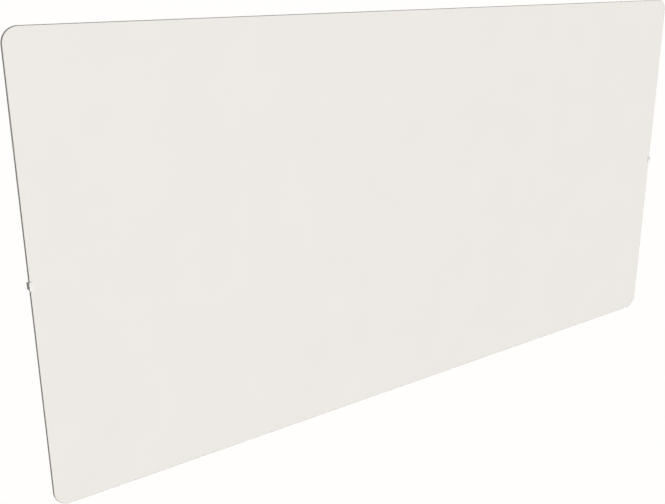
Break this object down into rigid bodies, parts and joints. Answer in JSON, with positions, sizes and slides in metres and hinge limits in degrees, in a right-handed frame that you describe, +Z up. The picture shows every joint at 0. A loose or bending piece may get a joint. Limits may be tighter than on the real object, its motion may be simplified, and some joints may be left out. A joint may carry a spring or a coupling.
{
  "type": "desk privacy panel",
  "caption": "Thin rounded rectangular laminated desk screen held at mid height by small clamp clips on its short edges, each with a threaded fixing foot.",
  "frame": {"origin": "middle of the board: half its width, half its height and half its thickness", "axes": "+X along the board to the right as seen from the front, +Y to the back, +Z up"},
  "size_m": [1.6024, 0.016, 0.8],
  "materials": {
    "laminate": "satin",
    "core": "matte",
    "white_coat": "satin",
    "pad_rubber": "matte",
    "disc_nylon": "satin",
    "screw_steel": "satin"
  },
  "bodies": {
    "board": {"core_board": "core", "front_laminate": "laminate", "rear_laminate": "laminate"},
    "left_clip": {"left_clip_body": "white_coat", "left_edge_pad": "pad_rubber", "left_rear_pad": "pad_rubber"},
    "left_disc": {"left_pressure_disc": "disc_nylon"},
    "left_screw": {"left_clamp_screw": "screw_steel"},
    "right_clip": {"right_clip_body": "white_coat", "right_edge_pad": "pad_rubber", "right_rear_pad": "pad_rubber"},
    "right_disc": {"right_pressure_disc": "disc_nylon"},
    "right_screw": {"right_clamp_screw": "screw_steel"}
  },
  "joints": [
    {"name": "left_clip_slide", "type": "slide", "parent": "board", "child": "left_clip", "axis": [0, 0, 1], "range_m": [-0.36, 0.355]},
    {"name": "left_disc_travel", "type": "slide", "parent": "left_clip", "child": "left_disc", "axis": [0, -1, 0], "range_m": [0, 0.0005]},
    {"name": "left_screw_turn", "type": "hinge", "parent": "left_disc", "child": "left_screw", "pos_m": [-0.7979, -0.0041, 0.0061], "axis": [0, -1, 0], "range_deg": [0, 360]},
    {"name": "right_clip_slide", "type": "slide", "parent": "board", "child": "right_clip", "axis": [0, 0, 1], "range_m": [-0.36, 0.355]},
    {"name": "right_disc_travel", "type": "slide", "parent": "right_clip", "child": "right_disc", "axis": [0, -1, 0], "range_m": [0, 0.0005]},
    {"name": "right_screw_turn", "type": "hinge", "parent": "right_disc", "child": "right_screw", "pos_m": [0.7979, -0.0041, 0.0061], "axis": [0, -1, 0], "range_deg": [0, 360]}
  ],
  "couplings": [
    {"joint": "left_screw_turn", "follows": "left_disc_travel", "rad_per_m": 12566},
    {"joint": "right_screw_turn", "follows": "right_disc_travel", "rad_per_m": 12566}
  ]
}
